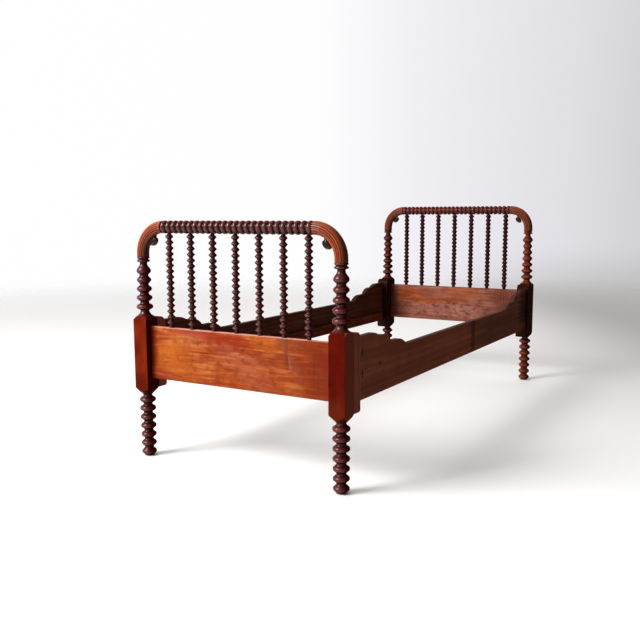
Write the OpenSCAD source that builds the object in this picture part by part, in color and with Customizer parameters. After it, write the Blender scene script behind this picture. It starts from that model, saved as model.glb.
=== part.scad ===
// Antique spool-turned bed frame with round-cornered head and foot boards.
// Millimetres, +Z up. The origin is on the floor in the middle of the bed, the foot end is at -Y.

/* [Bed] */
// Distance across the bed between the axes of its posts
post_span_x = 800; // [650:1:1150]
// Distance along the bed between the axes of its posts
post_span_y = 1988; // [1500:1:2200]

/* [Legs] */
// Number of turned beads on each leg
leg_beads = 7; // [5:1:9]
// Distance between the beads of a leg
leg_pitch = 32; // [29:0.5:38]
// Height of the middle of the lowest bead
foot_h = 15; // [14:0.5:20]
// Radius of the highest leg bead
leg_bead_r = 29; // [24:0.5:32]
// Radius that each bead loses from the one above it
leg_taper = 0.35; // [0:0.05:0.7]
// Radius of the waists between the leg beads
leg_waist_r = 16.2; // [13:0.1:18]
// Length of the plain neck between the leg and the block
leg_neck = 3; // [1:0.5:8]
// Radius of a bead's round crest, as a share of the distance between beads
crest_share = 0.27; // [0.2:0.01:0.3]
// Radius of the hollow between two beads, as a share of the same distance
hollow_share = 0.19; // [0.1:0.01:0.2]

/* [Post block] */
// Width of the square block
block_w = 60; // [54:0.5:66]
// Height of the block between its shoulders, in the middle of a face
block_h = 270.5; // [265:0.5:330]
// Rise of a shoulder for each millimetre outwards
shoulder_slope = 1; // [0.8:0.05:1.2]

/* [Upper turning] */
// Height of the first spool over the top of the block
spool_rise = 33.2; // [30:0.1:40]
// Distance between the spools of a post
spool_pitch = 31.8; // [29:0.2:38]
// Number of spools on each post of the foot end
foot_spools = 4; // [2:1:5]
// Number of spools on each post of the head end
head_spools = 6; // [5:1:8]
// Radius of the lowest spool
spool_r = 29.2; // [25:0.1:31]
// Radius that each spool loses from the one below it
spool_taper = 1.25; // [0:0.05:1.3]
// Radius of the waists between the spools
waist_r = 15.4; // [14:0.1:17]
// Radius of the bulb over the spools
bulb_r = 25.2; // [20:0.1:28]
// Length of the bulb's hollowed shoulder
bulb_up = 25; // [20:0.5:32]
// Radius of the neck over the bulb
bulb_neck_r = 13; // [11:0.5:14]
// Length of the neck over the bulb
bulb_neck = 7; // [3:0.5:10]
// Radius of the two collars under the corner arc
collar_r = 22.8; // [22:0.1:26]
// Thickness of the lower collar
collar_h = 7.5; // [4:0.5:9]
// Distance between the collars
collar_gap = 4.2; // [3:0.1:12]
// Thickness of the upper collar
top_collar_h = 6.5; // [3:0.5:8]

/* [Corner arcs] */
// Radius of the centre line of a corner arc
arc_r = 94.5; // [80:0.5:120]
// Diameter of the arc's round section
arc_d = 42.5; // [38:0.5:44]
// Height of the straight start over the collar
arc_straight = 9.1; // [6:0.1:20]
// Width of the reeds turned in the faces of the arc
reed_w = 7.1; // [6:0.1:8]
// Radius of the quirks between the reeds
quirk_r = 1.7; // [0.8:0.1:2]
// Diameter of the round tenons of the post and the top rail in the arc
arc_tenon_d = 20; // [16:0.5:21]
// Length of those tenons
arc_tenon = 20; // [14:0.5:24]

/* [Scroll drops] */
// Half the width of the carved scroll under a corner arc
drop_r = 10.7; // [9:0.1:12]
// Half the length of the scroll along the arc
drop_l = 17; // [14:0.5:19]
// Thickness of the scroll
drop_t = 15; // [10:0.5:18]
// Distance of the scroll's middle behind the middle of the arc, towards the bed
drop_back = 2.2; // [0:0.1:5]
// Distance of the scroll's middle from the arc's inner edge
drop_inset = 12; // [10:0.1:14]
// Width of the raised band of the spiral
drop_band = 2.8; // [2:0.1:4]

/* [Top rails] */
// Distance between the spools of a top rail, before it is fitted to the length
rail_pitch = 23.5; // [21:0.5:28]
// Crest diameter of the top rail's spools
rail_crest_d = 45; // [42:0.5:50]
// Diameter of the waists between them
rail_waist_d = 33; // [30:0.5:36]
// Radius of the round of each spool
rail_round = 11; // [9.5:0.1:11.4]

/* [Spindles] */
// Number of rail spools from one spindle to the next
spindle_every = 4; // [3:1:6]
// Diameter of the spindle's ridges
spindle_d = 28.6; // [24:0.2:32]
// Diameter of the spindle's waists
spindle_waist_d = 14; // [12:0.2:18]
// Distance between the ridges, before it is fitted to the length
spindle_pitch = 20; // [18:0.5:25]
// Radius of a ridge's round crest, as a share of the distance between ridges
ridge_share = 0.17; // [0.12:0.01:0.22]
// Radius of the hollow between two ridges, as a share of the same distance
furrow_share = 0.25; // [0.15:0.01:0.27]
// Length of the plain foot of a spindle, under its first ridge
spindle_foot = 8; // [5:0.5:14]
// Diameter of the spindle's tenons
spindle_tenon_d = 11; // [9:0.5:11.5]
// Length of the spindle's tenons
spindle_tenon = 18; // [12:0.5:20]
// Distance of spindles and panel behind the post axes, towards the bed
board_inset = 5; // [0:0.5:6]

/* [Panels] */
// Height of the panel's lower edge over the lower shoulder of the block
panel_up = 48.2; // [30:0.1:60]
// Height of the panel
panel_h = 187; // [140:1:195]
// Thickness of the panel
panel_t = 18; // [15:0.5:22]
// Thickness of the panel's end tenons
panel_tenon_t = 12; // [8:0.5:13]
// Length of the panel's end tenons
panel_tenon = 20; // [12:0.5:26]
// Height of the shoulder over and under each end tenon
panel_shoulder = 15; // [8:0.5:25]

/* [Cleats] */
// Depth of the cleat that thickens each block towards the bed
cleat_d = 41; // [34:0.5:50]
// Height of the cleats of the foot end
cleat_h = 255; // [235:1:262]
// Height of their lower ends over the lower shoulder of the block
cleat_up = 10.2; // [6:0.1:20]
// Length that the cleats of the head end reach further down
head_cleat_drop = 16; // [0:1:24]
// Radius of the cleat's rounded upper corner
cleat_top_round = 25; // [8:0.5:28]
// Radius of the lower corner at the foot end
cleat_round = 9; // [4:0.5:14]
// Radius of the lower corner at the head end
head_cleat_round = 15; // [6:0.5:20]

/* [Side rails] */
// Thickness of a side rail
side_t = 22; // [20:0.5:28]
// Distance of a side rail's outer face outside the post axes
side_out = 20; // [12:0.5:24]
// Height of the rail's lower edge over the lower shoulder of the block
side_up = 39.2; // [25:0.1:50]
// Height of the rail in its straight middle
side_h = 135; // [120:0.5:150]
// Height that the scrolled ends stand over the straight middle
scroll_rise = 72; // [60:1:80]
// Length of the level top at the foot end, from the rail's end
scroll_flat = 102; // [60:1:120]
// Length of the level top at the head end
head_scroll_flat = 72; // [40:1:120]
// Length of the first lobe
lobe_1 = 62; // [50:1:80]
// Fall of the first lobe
fall_1 = 16; // [10:0.5:20]
// Length of the level step after it
step_1 = 22; // [10:1:40]
// Length of the second lobe
lobe_2 = 70; // [60:1:90]
// Fall of the second lobe
fall_2 = 30; // [20:0.5:34]
// Length of the level step after it
step_2 = 42; // [20:1:60]
// Length of the third lobe, which falls to the straight middle
lobe_3 = 80; // [70:1:100]
// Share of a lobe's curve that is the hollow at its lower end
lobe_hollow = 0.25; // [0.1:0.05:0.5]
// Gap between the end of a side rail and its cleat
end_gap = 0.5; // [0.3:0.1:1]

/* [Ledgers] */
// Width of the ledger strip inside a side rail
ledger_w = 20; // [15:0.5:30]
// Height of the ledger strip
ledger_h = 42; // [25:0.5:50]
// Distance from a rail's end to the end of its ledger
ledger_end = 40; // [20:1:120]
// Number of screws in each ledger
ledger_screw_count = 6; // [4:1:8]

/* [Hook plates] */
// Thickness of the iron hook plate
hook_t = 3.5; // [2.5:0.1:4]
// Height of the hook plate
hook_plate_h = 110; // [100:1:120]
// Length of the plate inside the rail
hook_plate_l = 85; // [75:1:100]
// Height of the plate's lower edge over the lower edge of the rail
hook_plate_up = 61; // [30:1:70]
// Height of the lower hook over the plate's lower edge
hook_up = 20; // [16:0.5:24]
// Distance between the two hooks
hook_pitch = 60; // [56:0.5:62]
// Height of a hook's neck
hook_neck = 12; // [8:0.5:13]
// Depth of the nose that drops behind the keeper
hook_nose = 9; // [6:0.5:10]
// Thickness of the nose
nose_t = 6; // [4:0.5:7]
// Diameter of the two pins through each plate
pin_d = 5; // [4:0.5:6]
// Distance between the pins
pin_pitch = 74; // [60:1:80]
// Distance of the pins from the rail's end
pin_in = 33; // [20:1:68]

/* [Keeper plates] */
// Width of the slotted keeper plate
keeper_w = 20; // [17:0.5:20]
// Thickness of the keeper plate
keeper_t = 3; // [2:0.1:4]
// Height that the rail lifts before its hooks come free
lift = 12; // [11:0.5:13]
// Clearance of the hooks in their slots
hook_play = 0.75; // [0.4:0.05:1]

/* [Screws] */
// Diameter of the wood screws
screw_d = 4.5; // [3.5:0.5:5]
// Diameter of their countersunk heads
screw_head_d = 9; // [7:0.5:9]
// Length of the screws
screw_l = 34; // [28:0.5:36]

/* [Fits] */
// Clearance all round a glued tenon, a pin, a screw or a plate let into wood
glue_gap = 0.1; // [0.05:0.01:0.2]
// Clearance where a hook rests in its slot
rest_gap = 0.3; // [0.2:0.05:0.4]

/* [Hidden] */
$fn = 64;
bead_steps = 12;
crest_steps = 3;
hollow_steps = 2;
lobe_steps = 4;
post_x = post_span_x / 2;
post_y = post_span_y / 2;
half_block = block_w / 2;
corner_r = half_block * sqrt(2);

// heights on the posts
leg_top = foot_h + (leg_beads - 0.5) * leg_pitch + leg_neck;
block_z = leg_top + (half_block - leg_waist_r) * shoulder_slope;
block_top = block_z + block_h;
spool_z = block_top + spool_rise;
collar_z = bulb_up + bulb_neck;
collar_lip = 0.5;
spring_up = collar_z + collar_h + collar_gap + top_collar_h + collar_lip;

function bulb_z(spools) = spool_z + spools * spool_pitch;
function spring_z(spools) = bulb_z(spools) + spring_up;
function rail_z(spools) = spring_z(spools) + arc_straight + arc_r;

// top rails: an even number of spools puts a waist in the middle, where a spindle stands
top_l = post_span_x - 2 * arc_r;
rail_spools = 2 * round(top_l / (2 * rail_pitch));
rail_step = top_l / rail_spools;
spindle_side = floor((rail_spools / 2 - 1) / spindle_every);
spindle_count = 2 * spindle_side + 1;
function spindle_x(i) = (i - 1 - spindle_side) * spindle_every * rail_step;
function spindle_top(spools) = rail_z(spools) - rail_crest_d / 2 - rest_gap;

panel_z = block_z + panel_up;
panel_top = panel_z + panel_h;
panel_w = post_span_x - block_w;
cleat_top = block_z + cleat_up + cleat_h;
function cleat_z(e) = block_z + cleat_up - (e == "foot" ? 0 : head_cleat_drop);
cleat_face = half_block + cleat_d;

// side rails, measured from the post axes towards the middle of the bed
side_z = block_z + side_up;
side_top = side_z + side_h;
side_end = cleat_face + end_gap;
side_l = post_span_y - 2 * side_end;
side_mid = side_t / 2 - side_out;
ledger_l = side_l - 2 * ledger_end;
hook_z = side_z + hook_plate_up;
hook_levels = [hook_z + hook_up, hook_z + hook_up + hook_pitch];
pin_levels = [for (k = [-1, 1]) hook_z + hook_plate_h / 2 + k * pin_pitch / 2];
hook_reach = end_gap + keeper_t + rest_gap + nose_t;
slot_h = hook_neck + lift + rest_gap + hook_play;
keeper_edge = 22;
keeper_z = hook_levels[0] - keeper_edge;
keeper_h = hook_pitch + slot_h + 2 * keeper_edge;
keeper_screw_in = 7;
keeper_screw_levels = [keeper_z + keeper_screw_in, keeper_z + keeper_h - keeper_screw_in];
head_l = (screw_head_d - screw_d) / 2;

ends = ["foot", "head"];
sides = ["left", "right"];
function spools(e) = e == "foot" ? foot_spools : head_spools;

// A corner's own frame: the post stands at its origin, +X points across the bed and +Y along it.
module corner(e, s) {
    translate([s == "left" ? -post_x : post_x, e == "foot" ? -post_y : post_y, 0])
        mirror([s == "left" ? 0 : 1, 0, 0])
            mirror([0, e == "foot" ? 0 : 1, 0])
                children();
}

// An end board's frame: in the middle between its posts, +Y points towards the bed.
module end_frame(e) {
    translate([0, e == "foot" ? -post_y : post_y, 0])
        mirror([0, e == "foot" ? 0 : 1, 0])
            children();
}

// A side's frame: the rail lies at -X, and its outer side faces -X.
module side_frame(s) {
    mirror([s == "left" ? 0 : 1, 0, 0])
        translate([-post_x, 0, 0])
            children();
}

// Half an ellipse that stands out of a turning, from its lower to its upper foot.
function bead(z, half, base, rise) =
    [for (i = [0 : bead_steps]) [
        base + rise * sin(180 * i / bead_steps),
        z - half * cos(180 * i / bead_steps)
    ]];

// One wave of a turning: a round crest with a round hollow and a straight flank on either side.
// It runs to the waist over the crest, from the waist under it, whose own point is left out.
function wave(z, half, waist, crest, crest_r, hollow_r) =
    let (
        reach = crest_r + hollow_r,
        over = reach - (crest - waist),
        steep = asin(reach / norm([half, over])) - atan2(over, half),
        rising = concat(
            [for (i = [1 : hollow_steps]) let (a = steep * i / hollow_steps)
                [waist + hollow_r * (1 - cos(a)), -half + hollow_r * sin(a)]],
            [for (i = [0 : crest_steps]) let (a = steep * (1 - i / crest_steps))
                [crest - crest_r * (1 - cos(a)), -crest_r * sin(a)]]
        )
    )
    concat(
        [for (p = rising) [p[0], z + p[1]]],
        [for (k = [len(rising) - 2 : -1 : 0]) [rising[k][0], z - rising[k][1]]],
        [[waist, z + half]]
    );

// A double curve that falls from one radius to another.
function ogee(z0, z1, r0, r1) =
    [for (i = [1 : bead_steps]) [
        r1 + (r0 - r1) * (1 + cos(180 * i / bead_steps)) / 2,
        z0 + (z1 - z0) * i / bead_steps
    ]];

function leg_profile() = [
    for (k = [0 : leg_beads - 1])
        let (crest = leg_bead_r - leg_taper * (leg_beads - 1 - k))
            for (p = wave(foot_h + k * leg_pitch, leg_pitch / 2, leg_waist_r, crest,
                    crest_share * leg_pitch, hollow_share * leg_pitch))
                if (p[1] > 0.3) p
];

function spool_wave(z, crest, share) =
    wave(z, spool_pitch / 2, waist_r, crest, share * spool_pitch, hollow_share * spool_pitch);

function spool_profile(count) = [
    for (k = [0 : count - 1])
        each spool_wave(spool_z + k * spool_pitch, spool_r - spool_taper * k, crest_share)
];

bulb_share = 0.3;
collar_foot_r = collar_r - collar_h / 2;
groove_r = collar_r - 5;
function head_profile(z) = concat(
    [for (p = spool_wave(z, bulb_r, bulb_share)) if (p[1] < z + 0.01) p],
    ogee(z, z + bulb_up, bulb_r, bulb_neck_r),
    [[bulb_neck_r, z + collar_z - collar_h / 4]],
    bead(z + collar_z + collar_h / 2, collar_h / 2, collar_foot_r, collar_r - collar_foot_r),
    [[groove_r, z + collar_z + collar_h + collar_gap / 3]],
    [[groove_r, z + collar_z + collar_h + 2 * collar_gap / 3]],
    bead(z + spring_up - collar_lip - top_collar_h / 2, top_collar_h / 2, collar_foot_r,
        top_collar_h / 2),
    [[collar_foot_r, z + spring_up]]
);

module block() {
    over = 2;
    low_r = leg_waist_r - over;
    big_r = corner_r + over;
    tongue_r = half_block - 1;
    intersection() {
        translate([-half_block, -half_block, leg_top - 2 * over])
            cube([block_w, block_w, block_top - leg_top + spool_rise]);
        rotate_extrude()
            polygon([
                [0, leg_top - over * shoulder_slope],
                [low_r, leg_top - over * shoulder_slope],
                [big_r, block_z + (big_r - half_block) * shoulder_slope],
                [big_r, block_top - (big_r - half_block) * shoulder_slope],
                [tongue_r, block_top + shoulder_slope],
                [tongue_r - 3.5, block_top + 0.12 * spool_rise],
                [tongue_r - 6.5, block_top + 0.26 * spool_rise],
                [waist_r + 1.8, block_top + 0.42 * spool_rise],
                [waist_r - over, block_top + 0.56 * spool_rise],
                [0, block_top + 0.56 * spool_rise]
            ]);
    }
}

module post(e, s) {
    count = spools(e);
    top = spring_z(count);
    color("#6e2413") corner(e, s)
        difference() {
            union() {
                rotate_extrude()
                    polygon(concat(
                        [[0, 0], [leg_waist_r, 0]],
                        leg_profile(),
                        [[leg_waist_r, leg_top + 2], [waist_r, leg_top + 4]],
                        [[waist_r, spool_z - spool_pitch / 2]],
                        spool_profile(count),
                        head_profile(bulb_z(count)),
                        [[arc_tenon_d / 2, top], [arc_tenon_d / 2, top + arc_tenon], [0, top + arc_tenon]]
                    ));
                block();
            }
            panel_tenon_hole();
        }
}

// The mortise that a panel's end tenon is glued into.
module panel_tenon_hole() {
    translate([half_block - panel_tenon - glue_gap, board_inset - panel_tenon_t / 2 - glue_gap,
            panel_z + panel_shoulder - glue_gap])
        cube([block_w, panel_tenon_t + 2 * glue_gap, panel_h - 2 * panel_shoulder + 2 * glue_gap]);
}

// The slots and pockets that the two hooks drop into, past the cleat's face by a given play.
module hook_space(deep, play) {
    for (z = hook_levels)
        translate([side_mid - hook_t / 2 - play, cleat_face - deep, z - hook_nose - play])
            cube([hook_t + 2 * play, deep + 1, hook_nose + slot_h + play]);
}

module cleat(e, s) {
    height = cleat_top - cleat_z(e);
    color("#7c3018") corner(e, s)
        difference() {
            translate([-half_block, half_block, cleat_z(e)])
                difference() {
                    cube([block_w, cleat_d, height]);
                    translate([0, cleat_d, 0])
                        corner_waste(e == "foot" ? cleat_round : head_cleat_round);
                    translate([0, cleat_d, height])
                        mirror([0, 0, 1])
                            corner_waste(cleat_top_round);
                }
            keeper_body(glue_gap);
            hook_space(hook_reach - end_gap + 2 * hook_play, hook_play);
            keeper_screw_holes(e, s);
        }
}

// What comes off a lower edge to round it.
module corner_waste(r) {
    difference() {
        translate([-1, -r, -1])
            cube([block_w + 2, r + 1, r + 1]);
        translate([-2, -r, r])
            rotate([0, 90, 0])
                cylinder(r = r, h = block_w + 4);
    }
}

module keeper_body(gap) {
    translate([side_mid - keeper_w / 2 - gap, cleat_face - keeper_t - gap, keeper_z - gap])
        cube([keeper_w + 2 * gap, keeper_t + gap, keeper_h + 2 * gap]);
}

module keeper_plate(e, s) {
    color("#4b4a4a") corner(e, s)
        difference() {
            keeper_body(0);
            for (z = hook_levels)
                translate([side_mid - hook_t / 2 - hook_play, cleat_face - keeper_t - 1, z - rest_gap])
                    cube([hook_t + 2 * hook_play, keeper_t + 2, slot_h]);
            keeper_screw_holes(e, s);
        }
}

// A countersunk wood screw along -Y, with its head flush at the origin and its slot cut in.
module screw(gap) {
    rotate([90, 0, 0])
        difference() {
            union() {
                cylinder(d1 = screw_head_d + 2 * gap, d2 = screw_d + 2 * gap, h = head_l);
                cylinder(d = screw_d + 2 * gap, h = screw_l + gap);
            }
            if (gap == 0)
                translate([-screw_head_d, -0.5, -1])
                    cube([2 * screw_head_d, 1, 2]);
        }
}

module keeper_screw_holes(e, s) {
    for (z = keeper_screw_levels)
        translate([side_mid, cleat_face, z])
            screw(glue_gap);
}

module keeper_screws() {
    color("#3a3533")
        for (e = ends, s = sides)
            corner(e, s)
                for (z = keeper_screw_levels)
                    translate([side_mid, cleat_face, z])
                        screw(0);
}

// The round section of an arc: four quirks on its front and four on its back make the reeds.
// +X points away from the centre of the arc.
module arc_section() {
    r = arc_d / 2;
    difference() {
        circle(r = r);
        for (k = [-1.5 : 1.5], face = [-1, 1])
            translate([reed_w * k, face * sqrt(r * r - reed_w * reed_w * k * k)])
                circle(r = quirk_r, $fn = 32);
    }
}

module arc_at(count, section_gap) {
    translate([arc_r, 0, spring_z(count) + arc_straight])
        rotate([90, 0, 0])
            mirror([1, 0, 0])
                rotate_extrude(angle = 90)
                    translate([arc_r, 0])
                        if (section_gap > 0)
                            circle(r = arc_d / 2 + section_gap);
                        else
                            arc_section();
}

module arc(e, s) {
    count = spools(e);
    hole = arc_tenon + 1;
    color("#9a4a22") corner(e, s)
        difference() {
            union() {
                arc_at(count, 0);
                translate([0, 0, spring_z(count)])
                    mirror([1, 0, 0])
                        linear_extrude(arc_straight)
                            arc_section();
            }
            translate([0, 0, spring_z(count) - 1])
                cylinder(d = arc_tenon_d + 2 * glue_gap, h = hole + 1);
            translate([arc_r + 1, 0, rail_z(count)])
                rotate([0, -90, 0])
                    cylinder(d = arc_tenon_d + 2 * glue_gap, h = hole + 1);
        }
}

// The spiral runs inwards through one and a half turns, its band keeps its width across the scroll.
spiral_turn = 540;
spiral_step = 20;
function spiral_r(a) = drop_r - drop_band * 0.75 * a / 360;
function oval(r, a) = r * [cos(a), sin(a) * drop_l / drop_r];
function spiral_band() = concat(
    [for (a = [0 : spiral_step : spiral_turn]) oval(spiral_r(a), a)],
    [for (a = [spiral_turn : -spiral_step : 0]) oval(spiral_r(a) - drop_band / 2, a)]
);

// +X points to the arc and -Y along it to the top rail, where a stem joins the scroll to the arc.
module drop(e, s) {
    count = spools(e);
    reach = arc_r - arc_d / 2 - drop_inset;
    rim = 1.2;
    color("#3d150f") corner(e, s)
        difference() {
            translate([arc_r, drop_back, spring_z(count) + arc_straight])
                rotate([90, 0, 0])
                    rotate([0, 0, 135])
                        translate([reach, 0, 0])
                            union() {
                                linear_extrude(drop_t - 2 * rim, center = true)
                                    polygon([for (a = [0 : spiral_step : 359]) oval(drop_r - rim, a)]);
                                linear_extrude(drop_t, center = true)
                                    polygon(spiral_band());
                                linear_extrude(drop_t - rim, center = true)
                                    circle(r = drop_band);
                                linear_extrude(drop_t - 3 * rim, center = true)
                                    polygon([
                                        [0, -0.94 * drop_l],
                                        [drop_inset / 2, -drop_l],
                                        [drop_inset + 4, -0.95 * drop_l],
                                        [drop_inset + 4, -0.5 * drop_l],
                                        [drop_r * 0.7, -0.5 * drop_l],
                                        [0, -0.5 * drop_l]
                                    ]);
                            }
            arc_at(count, glue_gap);
        }
}

// One bead of the top rail along its axis, from the middle of a waist to the middle of the next.
function rail_bead(at) =
    let (
        rise = rail_crest_d / 2 - rail_round,
        low = asin((rail_waist_d / 2 - rise) / rail_round),
        n = bead_steps - 2
    )
    [for (i = [0 : n]) let (a = 180 - low - (180 - 2 * low) * i / n) [
        rise + rail_round * sin(a),
        at + rail_round * cos(a)
    ]];

module top_rail(e) {
    count = spools(e);
    z = rail_z(count);
    color("#4a1712") end_frame(e)
        difference() {
            translate([0, 0, z])
                rotate([0, 90, 0])
                    union() {
                        rotate_extrude()
                            polygon(concat(
                                [[0, -top_l / 2], [rail_waist_d / 2, -top_l / 2]],
                                [for (k = [0 : rail_spools - 1])
                                    each rail_bead((k + 0.5 - rail_spools / 2) * rail_step)],
                                [[rail_waist_d / 2, top_l / 2], [0, top_l / 2]]
                            ));
                        translate([0, 0, -top_l / 2 - arc_tenon])
                            cylinder(d = arc_tenon_d, h = top_l + 2 * arc_tenon);
                    }
            for (i = [1 : spindle_count])
                translate([spindle_x(i), board_inset, spindle_top(count) - glue_gap])
                    cylinder(d = spindle_tenon_d + 2 * glue_gap, h = spindle_tenon + 2 * glue_gap);
        }
}

module spindle(e, i) {
    bottom = panel_top;
    top = spindle_top(spools(e));
    first = bottom + spindle_foot;
    n = round((top - first) / spindle_pitch);
    step = (top - first) / n;
    color("#5e1c12") end_frame(e)
        translate([spindle_x(i), board_inset, 0])
            rotate_extrude()
                polygon(concat(
                    [
                        [0, bottom - spindle_tenon],
                        [spindle_tenon_d / 2, bottom - spindle_tenon],
                        [spindle_tenon_d / 2, bottom],
                        [spindle_waist_d / 2, bottom],
                        [spindle_waist_d / 2, first]
                    ],
                    [for (k = [0 : n - 1])
                        each wave(first + (k + 0.5) * step, step / 2, spindle_waist_d / 2, spindle_d / 2,
                            ridge_share * step, furrow_share * step)],
                    [
                        [spindle_tenon_d / 2, top],
                        [spindle_tenon_d / 2, top + spindle_tenon],
                        [0, top + spindle_tenon]
                    ]
                ));
}

module panel(e) {
    tenon_h = panel_h - 2 * panel_shoulder;
    color("#a5511f") end_frame(e)
        difference() {
            union() {
                translate([-panel_w / 2, board_inset - panel_t / 2, panel_z])
                    cube([panel_w, panel_t, panel_h]);
                translate([-panel_w / 2 - panel_tenon, board_inset - panel_tenon_t / 2,
                        panel_z + panel_shoulder])
                    cube([panel_w + 2 * panel_tenon, panel_tenon_t, tenon_h]);
            }
            for (i = [1 : spindle_count])
                translate([spindle_x(i), board_inset, panel_top - spindle_tenon - glue_gap])
                    cylinder(d = spindle_tenon_d + 2 * glue_gap, h = spindle_tenon + 1);
        }
}

// A lobe of the scrolled end: a round fall with a small hollow at its lower end, both level at their ends.
// Its first point is left out.
function lobe(at, z, length, fall) =
    let (
        turn = 2 * atan(fall / length),
        both = length / sin(turn),
        hollow = lobe_hollow * both,
        round_r = both - hollow
    )
    concat(
        [for (i = [1 : lobe_steps]) let (a = turn * i / lobe_steps)
            [at + round_r * sin(a), z - round_r * (1 - cos(a))]],
        [for (i = [1 : lobe_steps - 1]) let (a = turn * (1 - i / (lobe_steps - 1)))
            [at + length - hollow * sin(a), z - fall + hollow * (1 - cos(a))]]
    );

// The top edge of one end, from the rail's end to its straight middle.
function scroll_edge(flat) =
    let (
        high = side_top + scroll_rise,
        at_1 = side_end + flat,
        at_2 = at_1 + lobe_1 + step_1,
        at_3 = at_2 + lobe_2 + step_2
    )
    concat(
        [[side_end, high], [at_1, high]],
        lobe(at_1, high, lobe_1, fall_1),
        [[at_2, high - fall_1]],
        lobe(at_2, high - fall_1, lobe_2, fall_2),
        [[at_3, high - fall_1 - fall_2]],
        lobe(at_3, high - fall_1 - fall_2, lobe_3, scroll_rise - fall_1 - fall_2)
    );

module side_rail(s) {
    edge = [for (p = scroll_edge(scroll_flat)) [p[0] - post_y, p[1]]];
    head = scroll_edge(head_scroll_flat);
    back = [for (k = [len(head) - 1 : -1 : 0]) [post_y - head[k][0], head[k][1]]];
    color("#5a2412") side_frame(s)
        difference() {
            translate([-side_out, 0, 0])
                rotate([90, 0, 90])
                    linear_extrude(side_t)
                        polygon(concat([[side_end - post_y, side_z]], edge, back,
                            [[post_y - side_end, side_z]]));
            for (k = [0, 1])
                mirror([0, k, 0])
                    translate([0, -post_y, 0]) {
                        translate([side_mid - hook_t / 2 - glue_gap, side_end - 1, hook_z - glue_gap])
                            cube([hook_t + 2 * glue_gap, hook_plate_l + 1 + glue_gap,
                                hook_plate_h + 2 * glue_gap]);
                        pins(glue_gap, 1);
                    }
            ledger_screw_set(glue_gap);
        }
}

module pins(gap, extra) {
    for (z = pin_levels)
        translate([-side_out - extra, side_end + pin_in, z])
            rotate([0, 90, 0])
                cylinder(d = pin_d + 2 * gap, h = side_t + 2 * extra);
}

module hook_plate(e, s) {
    neck_l = hook_reach;
    color("#464442") corner(e, s)
        difference() {
            translate([side_mid - hook_t / 2, 0, 0])
                rotate([90, 0, 90])
                    linear_extrude(hook_t)
                        union() {
                            translate([side_end, hook_z])
                                square([hook_plate_l, hook_plate_h]);
                            for (z = hook_levels) {
                                translate([side_end - neck_l, z])
                                    square([neck_l + 1, hook_neck]);
                                translate([side_end - neck_l, z - hook_nose])
                                    square([nose_t, hook_nose + 1]);
                            }
                        }
            pins(glue_gap, 1);
        }
}

module hook_pins(s) {
    color("#332e2c") side_frame(s)
        for (k = [0, 1])
            mirror([0, k, 0])
                translate([0, -post_y, 0])
                    pins(0, 0);
}

module ledger_screw_set(gap) {
    pitch = ledger_l / ledger_screw_count;
    for (k = [0 : ledger_screw_count - 1])
        translate([side_t - side_out + ledger_w, (k + 0.5) * pitch - ledger_l / 2, side_z + ledger_h / 2])
            rotate([0, 0, -90])
                screw(gap);
}

module ledger(s) {
    color("#6a2f1a") side_frame(s)
        difference() {
            translate([side_t - side_out, -ledger_l / 2, side_z])
                cube([ledger_w, ledger_l, ledger_h]);
            ledger_screw_set(glue_gap);
        }
}

module ledger_screws(s) {
    color("#3a3533") side_frame(s)
        ledger_screw_set(0);
}

for (e = ends, s = sides) {
    post(e, s);
    cleat(e, s);
    arc(e, s);
    drop(e, s);
    hook_plate(e, s);
    keeper_plate(e, s);
}
for (e = ends) {
    top_rail(e);
    panel(e);
    for (i = [1 : spindle_count])
        spindle(e, i);
}
for (s = sides) {
    side_rail(s);
    ledger(s);
    hook_pins(s);
    ledger_screws(s);
}
keeper_screws();
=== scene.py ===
import math
import bpy
import numpy as np
from mathutils import Matrix, Vector


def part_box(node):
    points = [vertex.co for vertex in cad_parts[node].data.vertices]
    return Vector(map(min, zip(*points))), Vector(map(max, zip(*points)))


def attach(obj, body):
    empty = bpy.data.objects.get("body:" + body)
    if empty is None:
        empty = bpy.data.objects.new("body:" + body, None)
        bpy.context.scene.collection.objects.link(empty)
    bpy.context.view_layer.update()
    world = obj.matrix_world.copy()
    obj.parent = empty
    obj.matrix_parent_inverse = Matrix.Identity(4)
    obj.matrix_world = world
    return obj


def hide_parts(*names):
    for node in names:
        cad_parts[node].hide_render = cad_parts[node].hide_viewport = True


# An old spool-turned bed: shellacked hardwood turnings, board panels and side rails on iron hooks.
# The dictionaries hold millimetres, the meshes metres.

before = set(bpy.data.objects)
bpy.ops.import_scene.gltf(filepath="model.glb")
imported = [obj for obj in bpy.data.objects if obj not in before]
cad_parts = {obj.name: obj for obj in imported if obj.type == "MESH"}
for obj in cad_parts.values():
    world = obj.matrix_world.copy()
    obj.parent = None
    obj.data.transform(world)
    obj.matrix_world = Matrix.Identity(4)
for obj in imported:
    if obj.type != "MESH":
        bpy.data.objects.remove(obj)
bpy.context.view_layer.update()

ends = {"foot": -1, "head": 1}
sides = {"left": -1, "right": 1}


def boxMm(node):
    low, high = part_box(node)
    return np.array(low) * 1000, np.array(high) * 1000


# what every piece is set out from
footPostLow, footPostHigh = boxMm("post_foot_left")
postX, postY = -(footPostLow + footPostHigh)[:2] / 2


# shapes
def newObject(name, data):
    item = bpy.data.objects.new(name, data)
    bpy.context.scene.collection.objects.link(item)
    return item


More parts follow.
